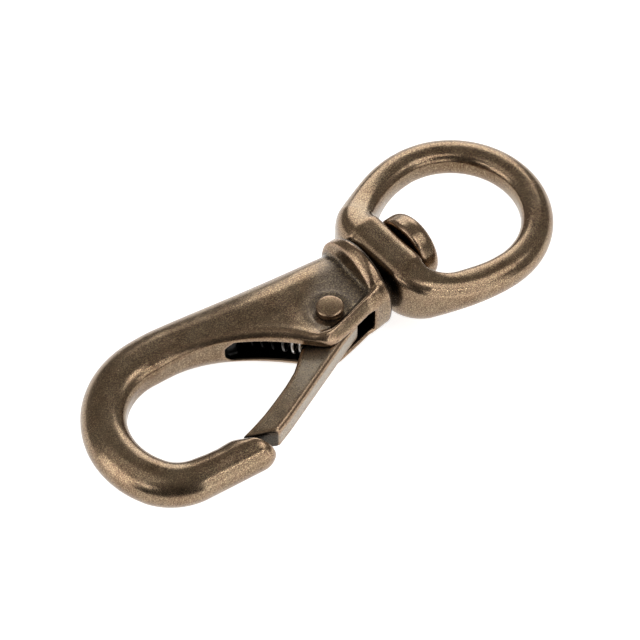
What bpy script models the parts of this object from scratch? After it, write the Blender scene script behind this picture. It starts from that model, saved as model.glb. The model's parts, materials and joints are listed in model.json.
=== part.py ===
"""Swivel-eye snap hook: a die-cast hook with a sprung lever gate and a swivelling oval eye.

Drawing frame, in millimetres: X runs along the swivel axis, from the hook's bow (-X) to the eye
(+X). Y lies across the hook, with the spine at +Y and the gate at -Y. Z is normal to the hook.
One empty carries the drawing frame to the part's origin: the centre of the underside of its box.
"""
import math

import bmesh
import bpy
from mathutils import Matrix, Vector

MM = 0.001
GAP = 0.3

# Hook bar: the round bar of the bow, from the spine down to the nose.
BOW_CENTRE = (-25.6, -4.6)
BOW_RADIUS = 12.7
BOW_START_DEG = 85.0
BOW_END_DEG = 205.0
BOW_STEPS = 12
TURN_RADIUS = 7.2
NOSE_HEADING_DEG = -7.0
NOSE_STRAIGHT = 8.6
NOSE_ROUND = 2.95
BAR_HALF_SPINE = 3.7
BAR_HALF_BOW = 3.35
BAR_HALF_NOSE = 2.95
BAR_HALF_THICK = 3.1
BAR_POWER = 2.3

# Housing: the two cheeks that carry the gate, cast in one with the bar and the collar.
CHEEK_HALF_THICK = 4.0
CHIN = (-1.9, -8.5)
DISH_Z = 3.5
DISH_TILT = math.radians(2.6)
SLOT_HALF = 2.1
SLOT_END_X = 6.5

# Collar: the round flange that the eye turns against.
COLLAR_FACE_X = 10.05
COLLAR_RADIUS = 7.15
COLLAR_NECK_RADIUS = 5.6

# Gate: the sprung lever, turning about Z on its rivet.
PIVOT = (0.7, -3.9)
GATE_HALF = SLOT_HALF - GAP
GATE_TIP = (-22.9, -12.85)
GATE_HEEL = (3.5, -7.55)
GATE_BOSS_RADIUS = 2.9
PIN_RADIUS = 1.2
PIN_HEAD_RADIUS = 1.95
PIN_HEAD_HEIGHT = 0.65

# Gate spring: an open coil between the gate's inner flank and the slot's back wall.
SPRING_FOOT = (-4.5, -4.27)
SPRING_LENGTH = 9.5
SPRING_AXIS_DEG = 127.8
SPRING_RADIUS = 1.35
SPRING_WIRE_RADIUS = 0.22
SPRING_TURNS = 6

# Swivel eye: an oval ring on a thick bored base bar.
EYE_BASE_X = (11.2, 17.7)
EYE_BASE_HALF_THICK = 4.8
EYE_BASE_POWER = 3.4
EYE_WIRE_RADIUS = 2.45
EYE_END_CENTRE_X = 28.2
EYE_HALF_WIDTH = 12.5
EYE_SIDE_RADIUS = 20.0
EYE_SIDE_DEG = 37.0

# Swivel rivet: a stud headed inside the eye, with a flattened tail behind the collar.
STUD_RADIUS = 1.7
STUD_HEAD_RADIUS = 5.0
STUD_HEAD_LENGTH = 3.0
STUD_TAIL_LENGTH = 1.4
STUD_TAIL_HALF = (2.7, SLOT_HALF - GAP)

RING_POINTS = 24
ROUND_SEGMENTS = 40


def material(name, colour, roughness):
    """A plated metal with one colour and roughness."""
    made = bpy.data.materials.new(name)
    made.use_nodes = True
    shader = made.node_tree.nodes["Principled BSDF"]
    shader.inputs["Base Color"].default_value = (*colour, 1.0)
    shader.inputs["Metallic"].default_value = 1.0
    shader.inputs["Roughness"].default_value = roughness
    return made


def antique_brass():
    return material("antique_brass", (0.20, 0.14, 0.07), 0.42)


def rubbed_brass():
    return material("rubbed_brass", (0.30, 0.20, 0.11), 0.35)


def spring_steel():
    return material("spring_steel", (0.55, 0.54, 0.52), 0.28)


def mesh_object(name, bm):
    """Turn a bmesh drawn in millimetres into a smooth-shaded object in metres."""
    bmesh.ops.recalc_face_normals(bm, faces=bm.faces)
    bmesh.ops.scale(bm, vec=Vector((MM, MM, MM)), verts=bm.verts)
    mesh = bpy.data.meshes.new(name)
    bm.to_mesh(mesh)
    bm.free()
    mesh.shade_smooth()
    mesh.set_sharp_from_angle(angle=math.radians(35.0))
    made = bpy.data.objects.new(name, mesh)
    bpy.context.scene.collection.objects.link(made)
    return made


def arc(centre, radius, start_deg, end_deg, steps):
    """Points along an arc in the drawing plane, both ends included."""
    points = []
    for i in range(steps + 1):
        angle = math.radians(start_deg + (end_deg - start_deg) * i / steps)
        points.append((centre[0] + radius * math.cos(angle), centre[1] + radius * math.sin(angle)))
    return points


def prism(name, outline, low_z, high_z):
    """An outline in the drawing plane, extruded along Z."""
    bm = bmesh.new()
    base = [bm.verts.new((x, y, low_z)) for x, y in outline]
    face = bm.faces.new(base)
    raised = bmesh.ops.extrude_face_region(bm, geom=[face])
    tops = [item for item in raised["geom"] if isinstance(item, bmesh.types.BMVert)]
    bmesh.ops.translate(bm, vec=(0.0, 0.0, high_z - low_z), verts=tops)
    return mesh_object(name, bm)


def turned(name, profile, axis):
    """A profile of (distance along the axis, radius) pairs, turned about X or Z."""
    bm = bmesh.new()
    rings = []
    for along, radius in profile:
        if radius == 0.0:
            rings.append([bm.verts.new((along, 0.0, 0.0))])
            continue
        ring = []
        for i in range(ROUND_SEGMENTS):
            angle = 2.0 * math.pi * i / ROUND_SEGMENTS
            ring.append(bm.verts.new((along, radius * math.cos(angle), radius * math.sin(angle))))
        rings.append(ring)
    for first, second in zip(rings, rings[1:]):
        for i in range(ROUND_SEGMENTS):
            j = (i + 1) % ROUND_SEGMENTS
            if len(first) == 1:
                bm.faces.new((first[0], second[i], second[j]))
            elif len(second) == 1:
                bm.faces.new((first[i], second[0], first[j]))
            else:
                bm.faces.new((first[i], second[i], second[j], first[j]))
    if axis == "Z":
        bmesh.ops.rotate(bm, matrix=Matrix.Rotation(-math.pi / 2.0, 3, "Y"), verts=bm.verts)
    return mesh_object(name, bm)


def superellipse(half_a, half_b, power):
    """A closed section with a flat facing each way along its first half-axis."""
    points = []
    for i in range(RING_POINTS):
        angle = 2.0 * math.pi * (i + 0.5) / RING_POINTS
        c = math.cos(angle)
        s = math.sin(angle)
        a = half_a * math.copysign(abs(c) ** (2.0 / power), c)
        b = half_b * math.copysign(abs(s) ** (2.0 / power), s)
        points.append((a, b))
    return points


def loft(name, stations, closed):
    """Skin sections laid between an outer and an inner rail.

    A station is (outer point, inner point, half thickness, power of its superellipse).
    """
    bm = bmesh.new()
    rings = []
    for outer, inner, half_thick, power in stations:
        middle = ((outer[0] + inner[0]) / 2.0, (outer[1] + inner[1]) / 2.0)
        half = math.dist(outer, inner) / 2.0
        across = ((outer[0] - middle[0]) / half, (outer[1] - middle[1]) / half)
        ring = []
        for a, b in superellipse(half, half_thick, power):
            ring.append(bm.verts.new((middle[0] + across[0] * a, middle[1] + across[1] * a, b)))
        rings.append(ring)
    pairs = list(zip(rings, rings[1:]))
    if closed:
        pairs.append((rings[-1], rings[0]))
    for first, second in pairs:
        for i in range(RING_POINTS):
            j = (i + 1) % RING_POINTS
            bm.faces.new((first[i], second[i], second[j], first[j]))
    if not closed:
        bm.faces.new(rings[0])
        bm.faces.new(rings[-1])
    return mesh_object(name, bm)


def combine(target, other, operation):
    """Union with, or cut by, another closed object, which stays behind as a guide."""
    other.hide_render = True
    other.display_type = "WIRE"
    modifier = target.modifiers.new(f"{operation.lower()} {other.name}", "BOOLEAN")
    modifier.operation = operation
    modifier.solver = "EXACT"
    modifier.object = other


def section_on(point, heading_deg, half, half_thick, power):
    """A section square to a heading, with its outer side on the heading's right."""
    right = math.radians(heading_deg - 90.0)
    dx = half * math.cos(right)
    dy = half * math.sin(right)
    x, y = point
    return ((x + dx, y + dy), (x - dx, y - dy), half_thick, power)


def bow_stations():
    """The bow at one radius, slimming from the spine's width to the bow's."""
    step = (BOW_END_DEG - BOW_START_DEG) / BOW_STEPS
    stations = []
    for i, point in enumerate(arc(BOW_CENTRE, BOW_RADIUS, BOW_START_DEG, BOW_END_DEG, BOW_STEPS)):
        share = min(2.0 * i / BOW_STEPS, 1.0)
        half = BAR_HALF_SPINE + (BAR_HALF_BOW - BAR_HALF_SPINE) * share
        heading = BOW_START_DEG + step * i + 90.0
        stations.append(section_on(point, heading, half, BAR_HALF_THICK, BAR_POWER))
    return stations


def turn_stations():
    """The tighter turn out of the bow into the nose's heading, and the point where it ends."""
    inward = math.radians(BOW_END_DEG)
    reach = BOW_RADIUS - TURN_RADIUS
    centre = (BOW_CENTRE[0] + reach * math.cos(inward), BOW_CENTRE[1] + reach * math.sin(inward))
    end_deg = NOSE_HEADING_DEG + 270.0
    steps = 6
    points = arc(centre, TURN_RADIUS, BOW_END_DEG, end_deg, steps)
    stations = []
    for i, point in enumerate(points[1:], start=1):
        half = BAR_HALF_BOW + (BAR_HALF_NOSE - BAR_HALF_BOW) * i / steps
        heading = BOW_END_DEG + (end_deg - BOW_END_DEG) * i / steps + 90.0
        stations.append(section_on(point, heading, half, BAR_HALF_THICK, BAR_POWER))
    return stations, points[-1]


def nose_stations(start):
    """The straight nose and its round end."""
    heading = math.radians(NOSE_HEADING_DEG)
    straight = [(NOSE_STRAIGHT * share, 1.0) for share in (0.35, 0.7, 1.0)]
    round_end = []
    for angle_deg in (30.0, 52.0, 70.0, 82.0):
        angle = math.radians(angle_deg)
        round_end.append((NOSE_STRAIGHT + NOSE_ROUND * math.sin(angle), math.cos(angle)))
    stations = []
    for along, size in straight + round_end:
        point = (start[0] + along * math.cos(heading), start[1] + along * math.sin(heading))
        half = BAR_HALF_NOSE * size
        thick = BAR_HALF_THICK * size
        stations.append(section_on(point, NOSE_HEADING_DEG, half, thick, BAR_POWER))
    return stations


def housing_stations():
    """Slices of the cheeks and the spine, from the collar to where the bow begins."""
    chin_x, chin_y = CHIN
    thick = CHEEK_HALF_THICK
    return [
        ((9.0, 5.9), (9.0, -6.6), thick, 3.4),
        ((3.0, 6.7), (3.0, -7.9), thick, 4.2),
        ((-1.2, 7.4), (chin_x + 0.6, chin_y), thick, 4.2),
        ((-3.2, 7.8), (chin_x - 1.1, chin_y + 0.4), thick, 4.2),
        ((-5.4, 8.1), (-4.9, -6.3), thick, 4.0),
        ((-8.4, 8.7), (-7.3, -3.4), 3.95, 3.6),
        ((-11.6, 9.4), (-9.9, -0.7), 3.85, 3.2),
        ((-14.8, 10.2), (-13.1, 1.4), 3.6, 2.8),
        ((-18.4, 11.0), (-17.1, 3.1), 3.3, 2.5),
        ((-21.5, 11.55), (-20.8, 4.0), 3.15, 2.4),
    ]


def hook_stations():
    """Sections from the collar, through the housing and the spine, round the bow to the nose."""
    turn, turn_end = turn_stations()
    return housing_stations() + bow_stations() + turn + nose_stations(turn_end)


def collar():
    """The flange, from inside the housing out to its flat swivel face."""
    rim = COLLAR_RADIUS
    face = COLLAR_FACE_X
    profile = [
        (5.0, 0.0),
        (5.0, COLLAR_NECK_RADIUS - 0.7),
        (6.6, COLLAR_NECK_RADIUS),
        (7.6, COLLAR_NECK_RADIUS + 0.4),
        (8.4, rim - 0.45),
        (9.0, rim - 0.05),
        (9.4, rim),
        (face - 0.2, rim - 0.25),
        (face, rim - 0.7),
        (face, 0.0),
    ]
    return turned("collar", profile, "X")


def slot():
    """The gate's slot: open along the mouth, closed by the slot's back wall and its ends."""
    outline = [
        (SLOT_END_X, -12.0),
        (SLOT_END_X, 3.0),
        (-7.0, 3.4),
        (-8.7, 4.5),
        (-11.9, 2.0),
        (-13.8, 2.6),
        (-14.7, 1.5),
        (-16.5, -3.0),
        (-10.0, -12.0),
    ]
    return prism("slot", outline[::-1], -SLOT_HALF, SLOT_HALF)


def dish(side):
    """The shallow recess round the pivot, open to the top edge and fading towards the bow."""
    outline = [
        (-9.0, 12.0),
        (-9.0, -0.4),
        (-5.0, -4.6),
        (-1.6, -6.9),
        (6.4, -6.1),
        (7.6, -4.6),
        (8.5, -1.5),
        (8.5, 1.5),
        (7.6, 4.6),
        (6.8, 12.0),
    ]
    cutter = prism(f"dish_{side}", outline[::-1], 0.0, 6.0)
    depth = Matrix.Translation((0.0, 0.0, DISH_Z * MM))
    tilt = Matrix.Translation((PIVOT[0] * MM, 0.0, 0.0)) @ Matrix.Rotation(DISH_TILT, 4, "Y")
    matrix = depth @ tilt @ Matrix.Translation((-PIVOT[0] * MM, 0.0, 0.0))
    if side == "under":
        matrix = Matrix.Rotation(math.pi, 4, "X") @ matrix @ Matrix.Scale(-1.0, 4, (0.0, 1.0, 0.0))
    cutter.data.transform(matrix)
    if side == "under":
        cutter.data.flip_normals()
    return cutter


def nose_seat():
    """Cuts the nose back so that the gate's tip swings clear of it."""
    outline = [(-23.45, -13.1), (-19.6, -18.2), (-12.0, -18.2), (-12.0, -8.0), (-23.1, -8.0)]
    return prism("nose_seat", outline, -6.0, 6.0)


def pin_bore(name, half_length):
    """The pivot's hole, drawn on the Z axis."""
    radius = PIN_RADIUS + GAP
    profile = [(-half_length, 0.0), (-half_length, radius), (half_length, radius), (half_length, 0.0)]
    return turned(name, profile, "Z")


def stud_bore(name, low_x, high_x):
    """A hole for the swivel rivet's shank, along X."""
    radius = STUD_RADIUS + GAP
    profile = [(low_x, 0.0), (low_x, radius), (high_x, radius), (high_x, 0.0)]
    return turned(name, profile, "X")


def place(thing, point, parent):
    """Move an object to a point of the drawing frame and hang it on its parent."""
    thing.location = Vector(point) * MM
    thing.parent = parent


def hook_body(drawing):
    """The cast hook: bar, housing and collar in one, slotted, dished and bored."""
    body = loft("hook_body", hook_stations(), closed=False)
    combine(body, collar(), "UNION")
    for side in ("top", "under"):
        combine(body, dish(side), "DIFFERENCE")
    combine(body, slot(), "DIFFERENCE")
    bore = pin_bore("cheek_bore", CHEEK_HALF_THICK + 2.0)
    place(bore, (*PIVOT, 0.0), drawing)
    combine(body, bore, "DIFFERENCE")
    combine(body, stud_bore("collar_bore", SLOT_END_X - 1.0, COLLAR_FACE_X + 1.0), "DIFFERENCE")
    combine(body, nose_seat(), "DIFFERENCE")
    body.data.materials.append(antique_brass())
    return body


def gate_outline():
    """The gate seen along Z, anticlockwise, from its tip along the outer face to the heel."""
    outer_low = (-18.3, -15.35)
    outer_high = (-0.6, -8.35)
    heel = arc((GATE_HEEL[0] - 1.0, GATE_HEEL[1] + 1.0), 1.0, -85.0, 10.0, 4)
    boss = arc(PIVOT, GATE_BOSS_RADIUS, 0.0, SPRING_AXIS_DEG, 9)
    flank = [(-8.6, -7.45), (-10.6, -8.75), (-12.8, -9.85), (-17.3, -11.5), (-20.2, -12.25)]
    return [GATE_TIP, outer_low, outer_high] + heel + boss + flank


def gate(drawing):
    """The lever gate, drawn about its pivot, with eased edges."""
    outline = [(x - PIVOT[0], y - PIVOT[1]) for x, y in gate_outline()]
    lever = prism("gate", outline, -GATE_HALF, GATE_HALF)
    ease = lever.modifiers.new("eased edges", "BEVEL")
    ease.width = 0.35 * MM
    ease.segments = 2
    ease.limit_method = "ANGLE"
    ease.angle_limit = math.radians(40.0)
    bore = pin_bore("gate_bore", GATE_HALF + 1.0)
    place(bore, (*PIVOT, 0.0), drawing)
    combine(lever, bore, "DIFFERENCE")
    lever.data.materials.append(antique_brass())
    return lever


def gate_pivot_rivet():
    """The steel rivet through both cheeks, with a low domed head on each."""
    under = DISH_Z + GAP
    top = under + PIN_HEAD_HEIGHT
    half_profile = [
        (under, PIN_RADIUS),
        (under, PIN_HEAD_RADIUS - 0.1),
        (under + 0.15, PIN_HEAD_RADIUS),
        (top - 0.2, PIN_HEAD_RADIUS - 0.1),
        (top - 0.05, PIN_HEAD_RADIUS - 0.45),
        (top, 0.0),
    ]
    lower = [(-z, radius) for z, radius in reversed(half_profile)]
    rivet = turned("gate_pivot_rivet", lower + half_profile, "Z")
    rivet.data.materials.append(rubbed_brass())
    return rivet


def gate_spring():
    """The open coil, drawn along X from its foot on the gate's flank."""
    curve = bpy.data.curves.new("gate_spring", "CURVE")
    curve.dimensions = "3D"
    curve.bevel_depth = SPRING_WIRE_RADIUS * MM
    curve.bevel_resolution = 2
    curve.use_fill_caps = True
    steps = 14 * SPRING_TURNS
    ends = GAP + SPRING_WIRE_RADIUS
    spline = curve.splines.new("POLY")
    spline.points.add(steps)
    for i, point in enumerate(spline.points):
        angle = 2.0 * math.pi * SPRING_TURNS * i / steps
        along = ends + (SPRING_LENGTH - 2.0 * ends) * i / steps
        coil = (along, SPRING_RADIUS * math.cos(angle), SPRING_RADIUS * math.sin(angle))
        point.co = (coil[0] * MM, coil[1] * MM, coil[2] * MM, 1.0)
    spring = bpy.data.objects.new("gate_spring", curve)
    bpy.context.scene.collection.objects.link(spring)
    spring.rotation_euler = (0.0, 0.0, math.radians(SPRING_AXIS_DEG))
    curve.materials.append(spring_steel())
    return spring


def eye_corner():
    """Centre and radius of the corner that joins the base bar to the +Y side."""
    side_deg = 90.0 + EYE_SIDE_DEG
    side = math.radians(side_deg)
    end_x = EYE_END_CENTRE_X + EYE_SIDE_RADIUS * math.cos(side)
    end_y = EYE_HALF_WIDTH - EYE_SIDE_RADIUS + EYE_SIDE_RADIUS * math.sin(side)
    base_x = (EYE_BASE_X[0] + EYE_BASE_X[1]) / 2.0
    radius = (end_x - base_x) / (1.0 + math.cos(side))
    return (base_x + radius, end_y - radius * math.sin(side)), radius


def eye_half_loop():
    """The +Y half of the eye's centre line, as (point, heading, half width, half thickness, power)."""
    base_half = (EYE_BASE_X[1] - EYE_BASE_X[0]) / 2.0
    corner_half = base_half - 0.15
    corner_thick = EYE_BASE_HALF_THICK - 0.5
    corner_power = 2.5
    wire = EYE_WIRE_RADIUS
    corner, corner_radius = eye_corner()
    side_deg = 90.0 + EYE_SIDE_DEG
    middle = (corner[0] - corner_radius, corner[1] * 0.45)
    stations = [(middle, 90.0, base_half, EYE_BASE_HALF_THICK, EYE_BASE_POWER)]
    corner_steps = 4
    for i, point in enumerate(arc(corner, corner_radius, 180.0, side_deg, corner_steps)):
        share = i / corner_steps
        heading = 90.0 - (180.0 - side_deg) * share
        half = base_half + (corner_half - base_half) * share
        tall = EYE_BASE_HALF_THICK + (corner_thick - EYE_BASE_HALF_THICK) * share
        power = EYE_BASE_POWER + (corner_power - EYE_BASE_POWER) * share
        stations.append((point, heading, half, tall, power))
    side_centre = (EYE_END_CENTRE_X, EYE_HALF_WIDTH - EYE_SIDE_RADIUS)
    side_steps = 6
    points = arc(side_centre, EYE_SIDE_RADIUS, side_deg, 90.0, side_steps)
    for i, point in enumerate(points[1:-1], start=1):
        fade = (1.0 - i / side_steps) ** 2
        heading = EYE_SIDE_DEG * (1.0 - i / side_steps)
        half = wire + (corner_half - wire) * fade
        tall = wire + (corner_thick - wire) * fade
        stations.append((point, heading, half, tall, 2.0 + (corner_power - 2.0) * fade))
    end_steps = 10
    step_deg = 180.0 / (2 * end_steps + 1)
    for i in range(end_steps + 1):
        angle = math.radians(90.0 - step_deg * i)
        x = EYE_END_CENTRE_X + EYE_HALF_WIDTH * math.cos(angle)
        y = EYE_HALF_WIDTH * math.sin(angle)
        stations.append(((x, y), -step_deg * i, wire, wire, 2.0))
    return stations


def eye_loop():
    """The whole eye as one closed ring of sections, its base bar thickest."""
    upper = eye_half_loop()
    stations = []
    for point, heading, half, thick, power in upper:
        stations.append(section_on(point, heading + 180.0, half, thick, power))
    for (x, y), heading, half, thick, power in reversed(upper):
        stations.append(section_on((x, -y), -heading, half, thick, power))
    return loft("swivel_eye", stations, closed=True)


def swivel_eye():
    """The cast eye: ring and base bar in one, bored for the swivel rivet."""
    eye = eye_loop()
    combine(eye, stud_bore("eye_bore", EYE_BASE_X[0] - 1.0, EYE_BASE_X[1] + 1.0), "DIFFERENCE")
    eye.data.materials.append(antique_brass())
    return eye


def swivel_rivet():
    """The stud that the eye turns on: round head, shank, and a tail flattened in the slot."""
    head_low = EYE_BASE_X[1] + GAP
    head_high = head_low + STUD_HEAD_LENGTH
    tail_high = SLOT_END_X - GAP
    tail_low = tail_high - STUD_TAIL_LENGTH
    radius = STUD_HEAD_RADIUS
    profile = [
        (tail_low + 0.4, 0.0),
        (tail_low + 0.4, STUD_RADIUS),
        (head_low, STUD_RADIUS),
        (head_low, radius - 0.7),
        (head_low + 0.3, radius - 0.15),
        (head_low + 0.9, radius),
        (head_high - 0.9, radius),
        (head_high - 0.3, radius - 0.3),
        (head_high, radius - 1.0),
        (head_high, 0.0),
    ]
    stud = turned("swivel_rivet", profile, "X")
    half_y, half_z = STUD_TAIL_HALF
    outline = [(tail_low, -half_y), (tail_high, -half_y), (tail_high, half_y), (tail_low, half_y)]
    combine(stud, prism("stud_tail", outline, -half_z, half_z), "UNION")
    stud.data.materials.append(antique_brass())
    return stud


def centre_on_underside(drawing, pieces):
    """Put the part's origin at the centre of the underside of its box."""
    bpy.context.view_layer.update()
    graph = bpy.context.evaluated_depsgraph_get()
    corners = []
    for piece in pieces:
        evaluated = piece.evaluated_get(graph)
        mesh = evaluated.to_mesh()
        corners.extend(piece.matrix_world @ vertex.co for vertex in mesh.vertices)
        evaluated.to_mesh_clear()
    low = Vector(min(corner[i] for corner in corners) for i in range(3))
    high = Vector(max(corner[i] for corner in corners) for i in range(3))
    drawing.location = (-(low.x + high.x) / 2.0, -(low.y + high.y) / 2.0, -low.z)


def main():
    for thing in list(bpy.data.objects):
        bpy.data.objects.remove(thing)
    drawing = bpy.data.objects.new("drawing_frame", None)
    bpy.context.scene.collection.objects.link(drawing)
    body = hook_body(drawing)
    lever = gate(drawing)
    rivet = gate_pivot_rivet()
    spring = gate_spring()
    eye = swivel_eye()
    stud = swivel_rivet()
    place(lever, (*PIVOT, 0.0), drawing)
    place(rivet, (*PIVOT, 0.0), drawing)
    place(spring, (*SPRING_FOOT, 0.0), drawing)
    for thing in bpy.data.objects:
        if thing.parent is None and thing is not drawing:
            thing.parent = drawing
    centre_on_underside(drawing, (body, lever, rivet, spring, eye, stud))


main()
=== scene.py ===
"""Looks for the swivel-eye snap hook: fine castings, rivets, spring, metal, light and camera.

The pieces are modelled as distance fields in the drawing frame of the part, in millimetres: X along
the swivel axis towards the eye, Y from the gate towards the spine, Z out of the hook's plane.
Each field is skinned into a mesh, and the gate joint's place carries the mesh to the frame.
"""
import json
import math

import bmesh
import bpy
import numpy as np
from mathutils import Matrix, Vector


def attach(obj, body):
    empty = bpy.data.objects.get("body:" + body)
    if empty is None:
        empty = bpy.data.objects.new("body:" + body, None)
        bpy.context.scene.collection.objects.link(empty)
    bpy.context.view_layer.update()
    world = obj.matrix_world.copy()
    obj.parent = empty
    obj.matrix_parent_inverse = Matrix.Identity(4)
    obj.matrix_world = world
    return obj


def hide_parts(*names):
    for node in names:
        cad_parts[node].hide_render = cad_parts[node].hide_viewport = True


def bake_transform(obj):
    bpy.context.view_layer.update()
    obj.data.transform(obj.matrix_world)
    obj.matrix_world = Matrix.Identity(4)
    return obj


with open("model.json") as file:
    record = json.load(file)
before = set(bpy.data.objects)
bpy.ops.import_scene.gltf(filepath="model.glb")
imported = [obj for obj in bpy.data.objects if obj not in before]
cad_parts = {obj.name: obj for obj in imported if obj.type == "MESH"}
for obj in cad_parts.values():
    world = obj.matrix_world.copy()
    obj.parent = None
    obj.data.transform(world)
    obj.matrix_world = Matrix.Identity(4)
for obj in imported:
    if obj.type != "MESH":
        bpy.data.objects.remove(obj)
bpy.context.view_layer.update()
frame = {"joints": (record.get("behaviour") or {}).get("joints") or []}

MM = 0.001

# Driving sizes of the drawing, in millimetres and degrees, as in the part.
PIVOT = (0.7, -3.9)
BOW_CENTRE = (-25.6, -4.6)
BOW_RADIUS = 12.7
BOW_START_DEG = 85.0
BOW_END_DEG = 205.0
TURN_RADIUS = 7.2
NOSE_HEADING_DEG = -7.0
BAR_HALF_SPINE = 3.7
BAR_HALF_BOW = 3.35
BAR_HALF_NOSE = 2.95
BAR_HALF_THICK = 3.1
CHEEK_HALF_THICK = 4.0
SLOT_END_X = 6.5
COLLAR_FACE_X = 10.05
GATE_HALF = 1.8
PIN_RADIUS = 1.2
STUD_RADIUS = 1.7
EYE_BASE_X = (11.2, 17.7)
EYE_BASE_HALF_THICK = 4.8
EYE_WIRE_RADIUS = 2.45
EYE_END_CENTRE_X = 28.2
EYE_HALF_WIDTH = 12.5
EYE_SIDE_RADIUS = 20.0
EYE_SIDE_DEG = 37.0
SPRING_FOOT = (-4.5, -4.27)
SPRING_LENGTH = 9.5
SPRING_AXIS_DEG = 127.8
SPRING_RADIUS = 1.35
SPRING_WIRE_RADIUS = 0.22
SPRING_TURNS = 6

# Sizes fitted to the photograph, slightly off the part's own.
NOSE_STRAIGHT = 9.05
DISH_Z = 3.45
SLOT_HALF = 2.0
PIN_HEAD_RADIUS = 2.05
STUD_HEAD_RADIUS = 5.4

# Sizes set here for the looks: the eye's turn at rest, heads, pits, and places in the castings.
EYE_REST_DEG = 1.8
PIN_HEAD_HEIGHT = 1.05
STUD_HEAD_LENGTH = 3.3
STUD_TAIL_HALF = (2.7, 1.75)
STUD_TAIL_HALF_LENGTH = 0.75
PITS = ((-12.1, 0.25, 3.75), (0.8, -7.75, 4.15))
PIT_RADIUS = 0.34
NOSE_TURN_DEG = NOSE_HEADING_DEG + 270.0
BOW_NARROW_DEG = 145.0
NOSE_SEAT = (-23.45, -13.1)
NOSE_SEAT_FACING = (0.8, 0.6)
NOSE_SIDE_X = -14.0
NOSE_SIDE_Y = -10.5
COLLAR_STEP = (7.3, -3.4)
COLLAR_STEP_LEAN = 0.08
GATE_END = [(-22.95, -12.75), (-18.7, -15.3)]

# Clearances round the pins and behind the stud's head and tail.
PIN_FIT = 0.06
GATE_PIN_FIT = 0.08
STUD_FIT = 0.1
EYE_STUD_FIT = 0.15
STUD_HEAD_FIT = 0.12
STUD_TAIL_FIT = 0.05

JOINTS = {joint["name"]: joint for joint in frame["joints"]}
ORIGIN = np.array(JOINTS["gate_hinge"]["pos_m"]) - np.array((*PIVOT, 0.0)) * MM


# Fields: negative inside, roughly a distance in millimetres near the surface.

def smooth_min(a, b, radius):
    """The lesser of two fields, with a fillet where they meet."""
    share = np.clip(0.5 + 0.5 * (b - a) / radius, 0.0, 1.0)
    return b * (1.0 - share) + a * share - radius * share * (1.0 - share)


def smooth_max(a, b, radius):
    """The greater of two fields, with an eased edge where they meet."""
    return -smooth_min(-a, -b, radius)


def smooth_step(low, high, value):
    """An eased rise from 0 at the low end to 1 at the high end."""
    t = np.clip((value - low) / (high - low), 0.0, 1.0)
    return t * t * (3.0 - 2.0 * t)


def arc(centre, radius, start_deg, end_deg, steps, end_radius=None):
    """Points along an arc whose radius may drift evenly to another one."""
    last = radius if end_radius is None else end_radius
    points = []
    for i in range(steps + 1):
        share = i / steps
        angle = math.radians(start_deg + (end_deg - start_deg) * share)
        reach = radius + (last - radius) * share
        points.append((centre[0] + reach * math.cos(angle), centre[1] + reach * math.sin(angle)))
    return points


def through(points, per_span=8):
    """A smooth open curve through a few points."""
    p = np.array(points, float)
    p = np.vstack([2.0 * p[0] - p[1], p, 2.0 * p[-1] - p[-2]])
    curve = []
    for a, b, c, d in zip(p, p[1:], p[2:], p[3:]):
        for i in range(per_span):
            t = i / per_span
            curve.append(0.5 * (2.0 * b + (c - a) * t + (2.0 * a - 5.0 * b + 4.0 * c - d) * t ** 2
                                + (3.0 * b - a - 3.0 * c + d) * t ** 3))
    curve.append(p[-2])
    return [tuple(point) for point in curve]


def line_distance(points, x, y):
    """Distance to an open line of points."""
    nearest = np.full(x.shape, 1e9)
    for (ax, ay), (bx, by) in zip(points, points[1:]):
        dx = bx - ax
        dy = by - ay
        length = dx * dx + dy * dy
        if length == 0.0:
            continue
        t = np.clip(((x - ax) * dx + (y - ay) * dy) / length, 0.0, 1.0)
        nearest = np.minimum(nearest, (x - ax - t * dx) ** 2 + (y - ay - t * dy) ** 2)
    return np.sqrt(nearest)


def is_inside(points, x, y):
    """Whether each place is inside a closed outline."""
    inside = np.zeros(x.shape, bool)
    for (ax, ay), (bx, by) in zip(points, points[1:] + points[:1]):
        if ay == by:
            continue
        crosses = ((ay > y) != (by > y)) & (x < (bx - ax) * (y - ay) / (by - ay) + ax)
        inside ^= crosses
    return inside


def outline_distance(points, x, y):
    """Signed distance to a closed outline."""
    distance = line_distance(points + points[:1], x, y)
    return np.where(is_inside(points, x, y), -distance, distance)


def axes(low, high, step):
    """The grid's three axes, shaped so that they combine into one field."""
    spans = [np.arange(a, b + step, step) for a, b in zip(low, high)]
    return (spans[0][:, None, None], spans[1][None, :, None], spans[2][None, None, :])


def flat_grid(x, y):
    """The drawing-plane part of the grid, as two full arrays."""
    return np.meshgrid(x[:, 0, 0], y[0, :, 0], indexing="ij")


# Skinning: one point per cell that the surface crosses, and a quad round each crossed grid edge.

SURFACE_ROUNDS = 3
SURFACE_MOVE = 0.3
WEAR_AND_SHADE_REACHES = (0.5, 1.0)
WEAR_AND_SHADE_RELAX_ROUNDS = 6
POINT_RELAX_ROUNDS = 2
CUBE = [(i, j, k) for i in (0, 1) for j in (0, 1) for k in (0, 1)]
CUBE_EDGES = [(a, b) for a in range(8) for b in range(a + 1, 8)
              if sum(abs(p - q) for p, q in zip(CUBE[a], CUBE[b])) == 1]


def sample(field, place):
    """The field at fractional grid places."""
    base = np.clip(np.floor(place).astype(int), 0, np.array(field.shape) - 2)
    part = place - base
    value = np.zeros(len(place))
    for corner in CUBE:
        weight = np.ones(len(place))
        for axis in range(3):
            weight = weight * (part[:, axis] if corner[axis] else 1.0 - part[:, axis])
        index = base + corner
        value += weight * field[index[:, 0], index[:, 1], index[:, 2]]
    return value


def slope(field, place):
    """The field's gradient at fractional grid places, per cell."""
    out = np.empty(place.shape)
    for axis in range(3):
        reach = np.zeros(3)
        reach[axis] = 0.5
        out[:, axis] = sample(field, place + reach) - sample(field, place - reach)
    return out


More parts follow.
